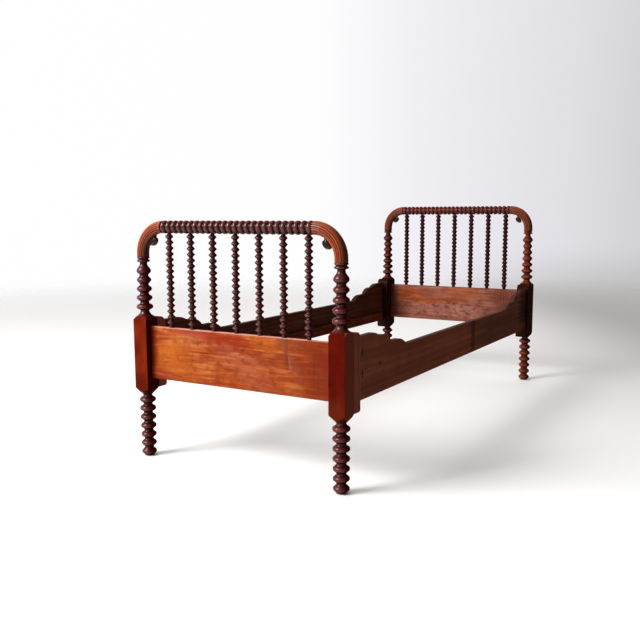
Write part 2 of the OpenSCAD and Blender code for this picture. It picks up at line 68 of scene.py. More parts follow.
def gridMesh(name, points, low=None, high=None, relief=None, grain=None, zone=None, sharp=38):
    # points[i, j] is ring i along the piece and place j round it; each ring closes on itself. Fans close the
    # two ends, from the points low and high or else from the middles of the end rings
    low = points[0].mean(axis=0) if low is None else low
    high = points[-1].mean(axis=0) if high is None else high
    n, m = points.shape[:2]
    index = np.arange(n * m).reshape(n, m)
    after = np.roll(index, -1, axis=1)
    quads = np.stack([index[:-1], after[:-1], after[1:], index[1:]], axis=-1).reshape(-1, 4)
    lowFan = np.stack([np.full(m, n * m), after[0], index[0]], axis=-1)
    highFan = np.stack([np.full(m, n * m + 1), index[-1], after[-1]], axis=-1)
    verts = np.vstack([points.reshape(-1, 3), low, high]) / 1000
    fans = np.vstack([lowFan, highFan])
    # the signed volume says whether the faces point outwards
    a, b, c, d = (verts[quads[:, k]] for k in range(4))
    volume = np.einsum("ij,ij->", a, np.cross(b, c)) + np.einsum("ij,ij->", a, np.cross(c, d))
    e, f, g = (verts[fans[:, k]] for k in range(3))
    volume += np.einsum("ij,ij->", e, np.cross(f, g))
    if volume < 0:
        quads, fans = quads[:, ::-1], fans[:, ::-1]
    mesh = bpy.data.meshes.new(name)
    mesh.from_pydata(verts.tolist(), [], quads.tolist() + fans.tolist())
    mesh.update()
    mesh.shade_smooth()
    mesh.set_sharp_from_angle(angle=math.radians(sharp))
    for label, values in (("relief", relief), ("zone", zone)):
        if values is not None:
            flat = np.broadcast_to(values, (n, m)).ravel()
            flat = np.concatenate([flat, flat[:1], flat[-1:]])
            mesh.attributes.new(label, "FLOAT", "POINT").data.foreach_set("value", flat.astype("f"))
    if grain is not None:
        flow = np.vstack([grain.reshape(-1, 3), grain[0].mean(axis=0), grain[-1].mean(axis=0)]) / 1000
        attribute = mesh.attributes.new("grain", "FLOAT_VECTOR", "POINT")
        attribute.data.foreach_set("vector", flow.astype("f").ravel())
    return newObject(name, mesh)


def asPoints(x, y, z):
    # three coordinates, each per ring, per place or both, as one array of points
    return np.stack(np.broadcast_arrays(x, y, z), axis=-1)


def seatPiece(piece, body, node, material):
    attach(piece, body)
    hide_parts(node)
    piece.data.materials.append(material)
    return piece


def beadCurve(z, half, base, rise, steps=20):
    # half an ellipse standing out of a turning: heights, radii, and how far out of the waist
    a = np.linspace(math.pi, 0, steps + 1)
    return np.stack([z + half * np.cos(a), base + rise * np.sin(a), np.sin(a)])


def waveCurve(z, half, waist, crest, crestR, hollowR, steps=7):
    # a round crest between two round hollows with straight flanks: the flanks touch both circles, so their
    # slope is asin((crestR + hollowR) / D) - atan(over / half), where D joins the circles' centres
    reach = crestR + hollowR
    over = reach - (crest - waist)
    steep = math.asin(reach / math.hypot(half, over)) - math.atan2(over, half)
    a = np.linspace(0, steep, steps + 1)
    up = np.concatenate([-half + hollowR * np.sin(a), -crestR * np.sin(a[::-1])])
    r = np.concatenate([waist + hollowR * (1 - np.cos(a)), crest - crestR * (1 - np.cos(a[::-1]))])
    up, r = np.concatenate([up, -up[-2::-1]]), np.concatenate([r, r[-2::-1]])
    return np.stack([z + up, r, (r - waist) / (crest - waist)])[:, 1:]


def coveCurve(z0, z1, base, dip, steps=8):
    # the hollow between two beads, without its ends
    t = np.linspace(0, 1, steps + 1)[1:-1]
    return np.stack([z0 + (z1 - z0) * t, base - dip * np.sin(math.pi * t), 0 * t])


def ogeeCurve(z0, z1, r0, r1, steps=16):
    # a cosine wave from one radius to another
    t = np.linspace(0, 1, steps + 1)[1:]
    return np.stack([z0 + (z1 - z0) * t, r1 + (r0 - r1) * (1 + np.cos(math.pi * t)) / 2, 0.3 + 0.5 * (1 - t)])


def plainCurve(*pairs):
    # straight stretches between given heights and radii
    return np.array([[z for z, r, w in pairs], [r for z, r, w in pairs], [w for z, r, w in pairs]], float)


def circleAngles(count):
    return np.arange(count) * 2 * math.pi / count


def revolve(curve, count):
    # rings of a turned piece round its own axis: across, across, along
    angle = circleAngles(count)
    height, radius = curve[0][:, None], curve[1][:, None]
    return asPoints(radius * np.cos(angle), radius * np.sin(angle), height)


# painted shade: a turning is darker on the side that faces away from the windows
flank = {"turn": 0.53, "from": -0.1, "over": 0.6, "zone": 0.28}


def paintedShadeFlank(angle):
    share = np.clip((np.cos(angle - flank["turn"]) - flank["from"]) / flank["over"], 0, 1)
    return flank["zone"] * share[None, :]


def softMin(a, b, k):
    # smooth minimum: the two surfaces meet in a round edge about k wide
    h = np.clip(0.5 + 0.5 * (b - a) / k, 0, 1)
    return b * (1 - h) + a * h - k * h * (1 - h)


def roundedRing(width, height, radius, perSide=6, perCorner=5):
    # a rectangle with quarter-round corners about its middle, as two arrays
    out = []
    for k, (sx, sy) in enumerate(((1, 1), (-1, 1), (-1, -1), (1, -1))):
        a = math.pi / 2 * (k + np.linspace(0, 1, perCorner))
        cx, cy = sx * (width / 2 - radius), sy * (height / 2 - radius)
        corner = np.stack([cx + radius * np.cos(a), cy + radius * np.sin(a)], axis=-1)
        out.append(corner)
    ring = []
    for k in range(4):
        ring.append(out[k])
        start, stop = out[k][-1], out[(k + 1) % 4][0]
        t = np.linspace(0, 1, perSide + 2)[1:-1, None]
        ring.append(start + (stop - start) * t)
    ring = np.vstack(ring)
    return ring[:, 0], ring[:, 1]


def wander(points, amount, size, seed):
    # slow sums of sines that take the machine-made look off a hand-planed face
    rng = np.random.default_rng(seed)
    waves = 4
    total = 0
    for k in range(waves):
        direction = rng.normal(size=3)
        direction /= np.linalg.norm(direction)
        length = size * (0.6 + 0.5 * k)
        total = total + np.sin(points @ direction * 2 * math.pi / length + rng.uniform(0, 6.28))
    return amount * total / waves


# finishes
def linearColour(code):
    # sRGB hex to the linear colour that a shader takes
    c = np.array([int(code[i:i + 2], 16) for i in (1, 3, 5)]) / 255
    return (*np.where(c <= 0.04045, c / 12.92, ((c + 0.055) / 1.055) ** 2.4), 1.0)


def setNode(tree, node, settings):
    # a setting is one of the node's own or a socket's: a value, a hex colour, or a (node, output) pair
    for key, value in settings.items():
        if not (isinstance(key, int) or key in node.inputs):
            setattr(node, key, value)
        elif isinstance(value, tuple) and isinstance(value[0], bpy.types.Node):
            tree.links.new(value[0].outputs[value[1]], node.inputs[key])
        else:
            node.inputs[key].default_value = linearColour(value) if isinstance(value, str) else value


def addNode(tree, kind, output, settings):
    # one new node with its settings, given back with the output that is wanted
    node = tree.nodes.new("ShaderNode" + kind)
    setNode(tree, node, settings)
    return (node, output)


def setRamp(node, stops):
    # places from 0 to 1, each with a hex colour
    elements = node.color_ramp.elements
    while len(elements) < len(stops):
        elements.new(1.0)
    for element, (place, tone) in zip(elements, stops):
        element.position = place
        element.color = linearColour(tone)


def newMaterial(name):
    material = bpy.data.materials.new(name)
    material.use_nodes = True
    return material, material.node_tree, material.node_tree.nodes["Principled BSDF"]


# a Mix node for colours has its share at 0, the two colours at 6 and 7, and the mixed one at output 2
mixing = {"data_type": "RGBA"}
smooth = {"interpolation_type": "SMOOTHSTEP"}
noiseSpan = {"From Min": 0.3, "From Max": 0.7}


def blend(tree, value, first, second, start, stop, least=0.0, most=1.0, curve="LINEAR"):
    # from the first colour towards the second, by a share that goes from least to most as a value goes from
    # start to stop
    share = addNode(tree, "MapRange", "Result", {
        "interpolation_type": curve, "Value": value, "From Min": start, "From Max": stop,
        "To Min": least, "To Max": most})
    return addNode(tree, "Mix", 2, {**mixing, 0: share, 6: first, 7: second})


def addNoise(tree, source, size, detail=4.0, roughness=0.5, twist=0.0, shift=(0, 0, 0)):
    # noise with one size in millimetres along each axis; most of it lies between 0.3 and 0.7
    scale = [1000 / s for s in size]
    place = addNode(tree, "Mapping", "Vector", {"Scale": scale, "Location": shift, "Vector": source})
    return addNode(tree, "TexNoise", "Fac", {"Scale": 1.0, "Detail": detail, "Roughness": roughness,
                                             "Distortion": twist, "Vector": place})


def addMark(tree, source, rim, colour, face, mark):
    # a stain, a worn patch or a scratch on one face: an ellipse in millimetres with a soft, uneven rim.
    # It lies at (a, z) with half sizes (p, q), turned by an angle, and fades off the face within its depth
    a, z, p, q, turn, tone, share, soft, *deep = mark
    axis, level, depth = face
    depth = deep[0] if deep else depth
    if axis == "y":
        at, size, turned = (a, level, z), (p, depth, q), (0, math.radians(turn), 0)
    else:
        at, size, turned = (level, a, z), (depth, p, q), (math.radians(turn), 0, 0)
    spot = addNode(tree, "Mapping", "Vector", {
        "vector_type": "TEXTURE", "Location": [c / 1000 for c in at], "Rotation": turned,
        "Scale": [c / 1000 for c in size], "Vector": source})
    far = addNode(tree, "VectorMath", "Value", {"operation": "LENGTH", 0: spot})
    uneven = addNode(tree, "Math", "Value", {"operation": "ADD", 0: far, 1: rim})
    return blend(tree, uneven, colour, tone, 1 - soft, 1 + soft, share, 0.0, "SMOOTHSTEP")


def shellacWood(name, look):
    # old hardwood under worn shellac: streaks along the grain, clouds of old stain, dirt and painted shade in
    # the hollows, rubbed edges lighter with wear and a painted highlight, and a clear film that gives the
    # highlights
    material, tree, shader = newMaterial(name)
    if look.get("flow"):
        source = addNode(tree, "Attribute", "Vector", {"attribute_name": "grain"})
    else:
        source = addNode(tree, "TexCoord", "Object", {})
    across, along = look["fibre"]
    size = [across] * 3
    size["xyz".index(look["axis"])] = along
    wide = [s * look["figure"] for s in size]
    fibre = addNoise(tree, source, size, detail=5.0, roughness=0.62)
    figure = addNoise(tree, source, wide, twist=look["swirl"], shift=look.get("shift", (0, 0, 0)))
    cloud = addNoise(tree, source, [look["cloud"]] * 3, detail=3.0, roughness=0.55)

    # the wood's own colour: three tones, darker streaks, clouds
    colour = addNode(tree, "ValToRGB", "Color", {"Fac": figure})
    places = [0.5 + step * look["toneReach"] for step in (-1, 0, 1)]
    setRamp(colour[0], list(zip(places, look["tones"])))
    streak = addNode(tree, "MapRange", "Result", {
        "Value": fibre, "From Min": 0.36, "From Max": 0.62, "To Min": look["streakTone"], "To Max": 1.0})
    colour = addNode(tree, "Mix", 2, {
        **mixing, "blend_type": "MULTIPLY", 0: look["streak"], 6: colour, 7: streak})
    colour = blend(tree, cloud, colour, look["cloudTone"], 0.4, 0.64, most=look["cloudMix"])

    # the film is dull in the hollows and on the zones: flanks with painted shade, and the blocks' faces
    film = look["film"]
    if look["relief"]:
        relief = addNode(tree, "Attribute", "Fac", {"attribute_name": "relief"})
        # dirt and painted shade darken the hollows; wear and a painted highlight lighten the crests
        colour = blend(tree, relief, colour, look["dirtAndShadeTone"], 0.0, look["dirtAndShadeTop"], look["dirtAndShade"], 0.0)
        colour = blend(tree, relief, colour, look["wearAndHighlightTone"], look["wearAndHighlightFrom"], 1.0, most=look["wearAndHighlight"])
        rubbed = addNode(tree, "MapRange", "Result", {
            "Value": relief, "From Min": 0.2, "From Max": 0.8, "To Min": look["valleyFilm"]})
        film = addNode(tree, "Math", "Value", {"operation": "MULTIPLY", 0: film, 1: rubbed})
    if look.get("shadeTone"):
        # the zone is up to 0.3 on a flank with painted shade. On a post's block it is 0.33 on the face
        # towards the panel, 0.66 on the outer one and 1 at the front and back; the side faces' tones paint in
        # the light and shade on them
        zone = addNode(tree, "Attribute", "Fac", {"attribute_name": "zone"})
        paintedShadeAndFaces = look["shadeTone"]
        if look.get("frontTone"):
            smoky = blend(tree, cloud, look["frontTone"], look["frontTo"], 0.36, 0.64)
            paintedShadeAndFaces = blend(tree, zone, paintedShadeAndFaces, look["outerTone"], 0.36, 0.63)
            paintedShadeAndFaces = blend(tree, zone, paintedShadeAndFaces, smoky, 0.75, 0.95)
        colour = blend(tree, zone, colour, paintedShadeAndFaces, 0.0, 0.3, most=look["zoneMix"])
        dulled = addNode(tree, "MapRange", "Result", {
            "Value": zone, "From Max": 0.3, "To Min": 1.0, "To Max": look["zoneFilm"]})
        film = addNode(tree, "Math", "Value", {"operation": "MULTIPLY", 0: film, 1: dulled})
    if look.get("marks"):
        rough = addNoise(tree, source, [s * 3 if s > across else 14 for s in size], roughness=0.6)
        rim = addNode(tree, "MapRange", "Result", {
            "Value": rough, "From Min": 0.2, "From Max": 0.8, "To Min": -look["ragged"],
            "To Max": look["ragged"]})
        for mark in look["marks"]:
            colour = addMark(tree, source, rim, colour, look["face"], mark)
        if look.get("speckle"):
            # spots where the old finish has crazed or blackened, within one large mark
            grit, tone, mark = look["speckle"]
            specks = addNoise(tree, source, (grit * 1.5, grit, grit), detail=5.0, roughness=0.6)
            dotted = blend(tree, specks, colour, tone, 0.49, 0.62, most=0.9)
            colour = addMark(tree, source, rim, colour, look["face"], (*mark[:5], dotted, *mark[5:]))

    # only the film reflects. Its index is above shellac's 1.5, for highlights as bright as in the photo
    settings = {"Base Color": colour, "Coat Weight": film, "Coat IOR": 1.8, "Specular IOR Level": 0.0}
    height = addNode(tree, "Math", "Value", {
        "operation": "MULTIPLY_ADD", 0: fibre, 1: look["grainDepth"], 2: cloud})
    for socket, least, most in (("Roughness", *look["rough"]),
                                ("Coat Roughness", look["filmRough"] * 0.85, look["filmRough"] * 1.25)):
        settings[socket] = addNode(tree, "MapRange", "Result", {
            **noiseSpan, "Value": cloud, "To Min": least, "To Max": most})
    for socket, strength in (("Normal", look["bump"]), ("Coat Normal", look["bump"] * look["filmBump"])):
        settings[socket] = addNode(tree, "Bump", "Normal", {
            "Strength": strength, "Distance": 0.001, "Height": height})
    setNode(tree, shader, settings)
    return material


def forgedIron(name, tone, rust):
    # iron forged flat by hand: nearly black scale that breaks up the shine, with thin brown rust
    material, tree, shader = newMaterial(name)
    source = addNode(tree, "TexCoord", "Object", {})
    scale = addNoise(tree, source, (5.5, 5.5, 5.5), detail=6.0, roughness=0.6)
    spots = addNoise(tree, source, (22, 22, 22), detail=3.0)
    setNode(tree, shader, {
        "Base Color": blend(tree, spots, tone, rust, 0.5, 0.68),
        "Roughness": addNode(tree, "MapRange", "Result", {
            **noiseSpan, "Value": scale, "To Min": 0.42, "To Max": 0.7}),
        "Normal": addNode(tree, "Bump", "Normal", {"Strength": 0.4, "Distance": 0.0004, "Height": scale}),
        "Metallic": 0.8})
    return material


# lathe-turned hardwood under old shellac: crimson beads with a small bright highlight each, hollows that are
# nearly black with dirt and painted shade, rubbed crests lighter with wear and a painted highlight
turnedLook = {
    "axis": "z", "fibre": (2.2, 60), "figure": 5, "swirl": 0.8, "cloud": 60,
    "tones": ("#3c0a08", "#5a120d", "#742016"), "toneReach": 0.18, "streak": 0.6, "streakTone": 0.42,
    "cloudMix": 0.35, "cloudTone": "#3c0c0a", "rough": (0.34, 0.46),
    "relief": True, "dirtAndShade": 0.6, "dirtAndShadeTop": 0.6, "dirtAndShadeTone": "#160404",
    "wearAndHighlight": 0.22, "wearAndHighlightFrom": 0.72, "wearAndHighlightTone": "#983628",
    "grainDepth": 0.35, "bump": 0.25, "filmBump": 0.35,
    "film": 0.45, "filmRough": 0.26, "valleyFilm": 0.75, "zoneMix": 0.7, "zoneFilm": 0.05,
}
# the foot posts' blocks were planed, not turned: redder, duller, and smoky at the lower end
footPostLook = {**turnedLook, "zoneMix": 0.97, "ragged": 0.5, "face": ("y", footPostLow[1], 12)}
footPostWood = {
    # the blocks' side faces have tones of their own, which paint in the light and shade on them
    "left": shellacWood("shellacTurnedFootPostLeft", {
        **footPostLook, "shadeTone": "#400a08", "outerTone": "#6c1e0c", "frontTone": "#84260c",
        "frontTo": "#661906", "marks": ((-400, 262, 40, 46, 0, "#5a1607", 0.8, 0.8),)}),
    "right": shellacWood("shellacTurnedFootPostRight", {
        **footPostLook, "shift": (2.0, 1.1, 0.3), "shadeTone": "#3a0a06", "outerTone": "#84402a",
        "frontTone": "#661204", "frontTo": "#4c0c03",
        "marks": ((400, 258, 40, 46, 0, "#843416", 0.4, 0.8),)}),
}
# the head posts have kept less of their red: orange-brown beads with a dull film, blocks nearly black
headLook = {
    **turnedLook, "dirtAndShade": 0.45, "wearAndHighlightTone": "#a0482a", "film": 0.24, "shift": (3.1, 0.4, 2.0),
    "tones": ("#581808", "#84300f", "#a04418"), "zoneMix": 0.9, "shadeTone": "#34120b",
    "outerTone": "#3e1a10", "frontTone": "#4a180c", "frontTo": "#30100a",
}
headPostWood = {
    "left": shellacWood("shellacTurnedHeadPostLeft", {
        **headLook, "tones": ("#401008", "#601c0e", "#782a16")}),
    "right": shellacWood("shellacTurnedHeadPostRight", headLook),
}
# turned spindles: small ridges that each catch a point of light, plum-coloured and dull at the head end
spindleLook = {**turnedLook, "shadeTone": "#2a0c0a", "fibre": (1.8, 45), "cloud": 50}
spindleWood = {
    "foot": shellacWood("shellacTurnedFootSpindle", {
        **spindleLook, "dirtAndShade": 0.5, "tones": ("#380e0a", "#561a12", "#702a1c")}),
    "head": shellacWood("shellacTurnedHeadSpindle", {
        **spindleLook, "dirtAndShade": 0.3, "tones": ("#300e14", "#45161a", "#5a2022"), "wearAndHighlightTone": "#602624",
        "film": 0.1, "filmRough": 0.3}),
}
# turned top rails, with the grain along them: dark red-brown spools over grooves black with dirt and painted
# shade
topRailWood = {
    "foot": shellacWood("shellacTurnedFootRail", {
        **turnedLook, "axis": "x", "dirtAndShade": 0.85, "dirtAndShadeTop": 0.5, "valleyFilm": 0.3,
        "tones": ("#300c09", "#4a160f", "#662618")}),
    "head": shellacWood("shellacTurnedHeadRail", {
        **turnedLook, "axis": "x", "dirtAndShade": 0.5, "film": 0.28, "tones": ("#3a100c", "#5c1c12", "#7c3220")}),
}
# arcs cut from a turned ring, rubbed through to orange wood, with grain round the bend; dirt and painted
# shade in the quirks, and reeds lighter with wear and a painted highlight
arcLook = {
    **turnedLook, "flow": True, "fibre": (2.0, 70), "tones": ("#7c260c", "#ae4614", "#c4642a"),
    "toneReach": 0.16, "cloudTone": "#64200a", "cloudMix": 0.5, "shadeTone": "#2a0c0a", "zoneMix": 0.8,
    "dirtAndShade": 0.9, "dirtAndShadeTop": 0.7, "dirtAndShadeTone": "#240804", "wearAndHighlight": 0.3, "wearAndHighlightFrom": 0.7, "wearAndHighlightTone": "#b85a28",
    "film": 0.36, "filmRough": 0.24, "zoneFilm": 0.5,
}
arcWood = {
    "foot": shellacWood("shellacReededFootArc", arcLook),
    "head": shellacWood("shellacReededHeadArc", {
        **arcLook, "dirtAndShade": 0.6, "film": 0.3, "tones": ("#4e190c", "#702a12", "#8c4020"), "toneReach": 0.18}),
}
# carved scrolls: almost black, with a dull shine of the film, the ridges of the roll lighter with wear and a
# painted highlight, and dirt and painted shade in the groove
dropWood = shellacWood("shellacCarvedScroll", {
    **turnedLook, "fibre": (1.5, 20), "tones": ("#1d0708", "#2c0b0c", "#451412"), "wearAndHighlightTone": "#4a1614",
    "film": 0.3,
})
# what the boards share: straight grain, little shine, and no hollows that hold dirt and painted shade
boardLook = {
    **turnedLook, "relief": False, "axis": "x", "fibre": (1.7, 130), "figure": 9, "swirl": 1.4,
    "cloud": 130, "ragged": 0.55, "bump": 0.2, "filmBump": 0.5,
}
endBoardLook = {**boardLook, "fibre": (3.6, 46), "figure": 5}
markLift = 2  # marks on a panel are centred this far in front of it
footPanelLow, footPanelHigh = boxMm("panel_foot")
headPanelLow, headPanelHigh = boxMm("panel_head")
sideRailHigh = boxMm("side_rail_right")[1]
# the foot panel, a planed board: fiery orange where the shellac is thin and red where it is thick, with level
# figure, pale rubs, a painted sheen, a dark split, and a worn top edge that carries a painted highlight
panelWood = shellacWood("shellacBoardPanel", {
    **endBoardLook, "tones": ("#a03a14", "#c4602a", "#d88046"), "toneReach": 0.14, "streakTone": 0.55,
    "cloud": 60, "cloudTone": "#94300e", "cloudMix": 0.75, "rough": (0.4, 0.52), "film": 0.1,
    "filmRough": 0.3, "ragged": 0.7, "face": ("y", footPanelLow[1] - markLift, 14),
    "speckle": (16, "#7e2e12", (60, 400, 420, 110, 0, 0.55, 0.5)),
    "marks": (
        (-275, 397, 90, 30, 0, "#c86a1c", 0.75, 0.7), (-240, 338, 115, 30, 3, "#c0601a", 0.65, 0.7),
        (112, 450, 62, 24, 0, "#c05e16", 0.55, 0.7), (-10, 322, 60, 16, 4, "#bd5c1c", 0.5, 0.7),
        (-80, 456, 130, 22, 2, "#982408", 0.85, 0.7), (-364, 400, 22, 100, 0, "#922509", 0.8, 0.6),
        # the pale mark at (-184, 456) is a painted sheen, a reflection on the film
        (-320, 294, 90, 15, 0, "#92280c", 0.6, 0.7), (-184, 456, 66, 13, 3, "#bd684c", 0.45, 0.9),
        (-150, 400, 130, 1.6, 1, "#7c2c0c", 0.4, 0.8), (-240, 410, 80, 1.3, 1, "#7c300c", 0.4, 0.8),
        (30, 366, 96, 27, 27, "#b5603c", 0.55, 0.8), (80, 322, 62, 22, 8, "#a95438", 0.5, 0.9),
        (2, 405, 24, 5, 8, "#cc8460", 0.6, 0.8), (62, 396, 30, 8, 10, "#bc7250", 0.45, 0.9),
        (-30, 430, 34, 10, 12, "#a6503a", 0.45, 0.9), (29, 421, 8, 5, 0, "#5c1a08", 0.75, 0.6),
        (170, 400, 90, 24, 6, "#943a18", 0.45, 0.8), (190, 330, 90, 26, 0, "#ac5020", 0.4, 0.8),
        (183, 470, 15, 20, 0, "#745038", 0.5, 0.9), (253, 462, 16, 22, 0, "#8c5838", 0.5, 0.9),
        (203, 446, 6, 38, 8, "#5c3e30", 0.6, 0.9), (205, 408, 3.5, 26, 4, "#40200f", 0.5, 0.9),
        (228, 396, 9, 40, -30, "#86543e", 0.5, 0.95), (214, 398, 2.6, 24, -14, "#a5806e", 0.4, 0.95),
        (258, 352, 8, 6, 0, "#946452", 0.5, 0.9), (340, 380, 85, 150, 0, "#802406", 0.88, 0.8),
        (286, 384, 1.6, 34, 2, "#5c2410", 0.3, 0.95), (304, 383, 1.8, 48, 0, "#3c160a", 0.45, 0.9),
        (320, 340, 1.6, 44, -2, "#5c2410", 0.3, 0.95),
        (340, 388, 1.6, 36, 1, "#54200e", 0.3, 0.95),
        # the top edge: wear and a painted highlight along it
        (0, footPanelHigh[2], 420, 2.4, 0, "#d09080", 0.9, 0.4, 80),
    ),
})
# the head panel, another planed board: dull pinkish brown, spotted low down, with some orange left at the
# top, and a painted shadow of the left post at its left end
headPanelWood = shellacWood("shellacBoardHeadPanel", {
    **endBoardLook, "cloud": 45, "tones": ("#905240", "#ac6d57", "#c0826a"), "toneReach": 0.16,
    "cloudTone": "#844434", "cloudMix": 0.7, "streak": 0.4, "rough": (0.4, 0.55), "film": 0.05,
    "filmRough": 0.36, "ragged": 0.9, "face": ("y", headPanelLow[1] - markLift, 14),
    "speckle": (16, "#54292e", (-40, 352, 310, 44, 0, 0.8, 0.8)),
    "marks": (
        (-60, 345, 330, 34, 0, "#b27460", 0.45, 0.6), (-265, 428, 80, 30, 0, "#a2440e", 0.85, 0.7),
        (-180, 398, 140, 14, 4, "#a84a12", 0.8, 0.7), (50, 442, 120, 22, 0, "#a24c1c", 0.7, 0.8),
        (-10, 402, 100, 9, 0, "#984618", 0.65, 0.7), (-255, 408, 22, 3, -12, "#c89068", 0.45, 0.9),
        (-190, 410, 32, 2.6, 5, "#c48a64", 0.4, 0.9), (-225, 440, 16, 2, 20, "#bc8058", 0.35, 0.9),
        (-320, 380, 80, 90, 0, "#70301c", 0.65, 0.7),
        (90, 380, 220, 2, 1, "#502418", 0.5, 0.8), (300, 390, 120, 130, 0, "#6a3526", 0.75, 0.7),
        # the dark mark at -350 is the painted shadow of the left post
        (-350, 400, 24, 110, 0, "#40241c", 0.75, 0.7), (268, 420, 2, 60, 0, "#401a12", 0.5, 0.8),
        (284, 420, 2, 60, 0, "#401a12", 0.5, 0.8), (-120, 310, 240, 5, 0, "#6c3020", 0.5, 0.8),
        (0, headPanelHigh[2], 420, 1.6, 0, "#5a2a1c", 0.6, 0.5, 80),
    ),
})
# cleats of stained board, hardly any film: flat terracotta at the foot end, nearly black at the head end
cleatLook = {
    **boardLook, "axis": "z", "fibre": (2.0, 90), "figure": 5, "cloud": 60, "toneReach": 0.2,
    "tones": ("#8c4630", "#b06046", "#c06e52"), "cloudTone": "#7c3826",
    "film": 0.03, "filmRough": 0.35, "rough": (0.4, 0.55),
}
cleatWood = {
    "foot": shellacWood("stainedFootCleat", cleatLook),
    "head": shellacWood("stainedHeadCleat", {
        **cleatLook, "cloudTone": "#200c08", "cloudMix": 0.8, "tones": ("#26100b", "#3a1a12", "#4e261a")}),
}
# side rails of stained board: matt brown faces with long grain, a top edge darkened as painted shade and more
# polished, black iron stains
sideLook = {
    **boardLook, "axis": "y", "fibre": (2.2, 150), "figure": 7, "swirl": 1.0, "cloud": 170,
    "tones": ("#8a4a32", "#9c5639", "#ab6446"), "toneReach": 0.16, "cloudTone": "#824430", "cloudMix": 0.6,
    "shadeTone": "#34150e", "outerTone": "#34150e", "frontTone": "#34150e", "frontTo": "#26100a",
    "zoneMix": 0.85, "zoneFilm": 7, "streak": 0.4, "rough": (0.45, 0.6), "film": 0.03, "filmRough": 0.36,
    "face": ("x", sideRailHigh[0], 60),
    "marks": (
        (134, 344, 24, 110, 0, "#2c1812", 0.6, 0.35), (560, 344, 400, 130, 0, "#573429", 0.55, 0.4),
        # the dark mark at 900, by the head end, is painted shade
        (900, 400, 90, 100, 0, "#1c0a06", 0.8, 0.6), (-767, 378, 9, 7, 0, "#1a0a06", 0.6, 0.8),
        (-892, 364, 5, 14, 0, "#120605", 0.8, 0.5), (-892, 434, 5, 14, 0, "#120605", 0.8, 0.5),
    ),
}
sideWood = {
    "left": shellacWood("stainedLeftSideRail", {
        **sideLook, "tones": ("#4a281d", "#5f3425", "#764230"), "cloudTone": "#442218"}),
    "right": shellacWood("stainedRightSideRail", sideLook),
}
# sawn ledgers with a thin stain and no shine
ledgerWood = shellacWood("sawnLedger", {
    **boardLook, "axis": "y", "fibre": (2.0, 120), "figure": 5, "cloud": 120, "toneReach": 0.2,
    "tones": ("#5a2416", "#783722", "#8f4a2e"), "cloudTone": "#4f2014", "film": 0.03, "filmRough": 0.5,
    "rough": (0.55, 0.7),
})
hookIron = forgedIron("forgedHookIron", "#3b3836", "#4a2d20")
screwIron = forgedIron("darkScrewIron", "#2c2928", "#3a2620")
print("finishes ready:", len(bpy.data.materials), "materials")

# posts
post = {
    "rings": 96, "legBeads": 7, "legPitch": 32, "foot": 15, "legTopR": 28.95, "legTaper": 0.35,
    "legWaist": 16.2, "crest": 0.27, "hollow": 0.19, "blockHalf": 29.95, "legTop": 226, "blockTop": 510.3,
    "slope": 1.0, "cornerPower": 42, "spoolZ": 543.5, "pitch": 31.8, "spoolR": 29.15, "taper": 1.25,
    "waist": 15.4, "bulb": 0.3, "bulbR": 25.15, "bulbUp": 25, "neckR": 13, "neck": 7, "collarR": 22.8,
    "collar": 7.5, "gap": 4.2, "topCollar": 6.5, "lip": 0.5, "uneven": 0.35,
    "footRise": 0.7, "footIn": 0.8, "neckRise": 1.9, "grooveDip": 1.6,
    "cornerSteps": (0.5, 1.1, 2.2), "shoulderEdge": 0.5, "blockEdge": 1.2,
    "tail": 17.3, "tailIn": 1.5, "tailPower": 1.6,
    "wearAndHighlightFrom": 1.36, "wearOver": 0.05, "blockRelief": 0.62, "zoneFrom": 28.6, "zoneOver": 1.2,
    "innerZone": 0.33, "outerZone": 0.66,
}
spools = {"foot": 4, "head": 6}
springUp = post["bulbUp"] + post["neck"] + post["collar"] + post["gap"] + post["topCollar"] + post["lip"]


def springZ(end):
    return post["spoolZ"] + spools[end] * post["pitch"] + springUp


def postCurves(end, rng):
    p = post
    leg = [plainCurve((0, p["legWaist"] - p["footIn"], 0.2), (p["footRise"], p["legWaist"], 0.2))]
    for k in range(p["legBeads"]):
        crest = p["legTopR"] - p["legTaper"] * (p["legBeads"] - 1 - k) - rng.uniform(0, p["uneven"])
        wave = waveCurve(p["foot"] + k * p["legPitch"], p["legPitch"] / 2, p["legWaist"], crest,
                         p["crest"] * p["legPitch"], p["hollow"] * p["legPitch"])
        leg.append(wave[:, wave[0] > 1])
    upper = []
    half, crestR, hollowR = p["pitch"] / 2, p["crest"] * p["pitch"], p["hollow"] * p["pitch"]
    for k in range(spools[end]):
        crest = p["spoolR"] - p["taper"] * k - rng.uniform(0, p["uneven"])
        upper.append(waveCurve(p["spoolZ"] + k * p["pitch"], half, p["waist"], crest, crestR, hollowR))
    z = p["spoolZ"] + spools[end] * p["pitch"]
    bulb = waveCurve(z, half, p["waist"], p["bulbR"], p["bulb"] * p["pitch"], hollowR, 12)
    upper.append(bulb[:, bulb[0] < z + 0.01])
    upper.append(ogeeCurve(z, z + p["bulbUp"], p["bulbR"], p["neckR"]))
    collar = z + p["bulbUp"] + p["neck"]
    foot = p["collarR"] - p["collar"] / 2
    upper.append(plainCurve((collar - p["neckRise"], p["neckR"], 0.1)))
    upper.append(beadCurve(collar + p["collar"] / 2, p["collar"] / 2, foot, p["collarR"] - foot, 12))
    groove = collar + p["collar"]
    upper.append(coveCurve(groove, groove + p["gap"], foot, p["grooveDip"]))
    half = p["topCollar"] / 2
    upper.append(beadCurve(groove + p["gap"] + half, half, foot, half, 12))
    upper.append(plainCurve((springZ(end), foot, 0.2)))
    return np.hstack(leg), np.hstack(upper)


def postAngles():
    # even steps with extra ones beside the block's four corners
    even = circleAngles(post["rings"])
    corners = [45 + 90 * k + way * step for k in range(4) for way in (-1, 1) for step in post["cornerSteps"]]
    return np.sort(np.concatenate([even, np.radians(corners)]))


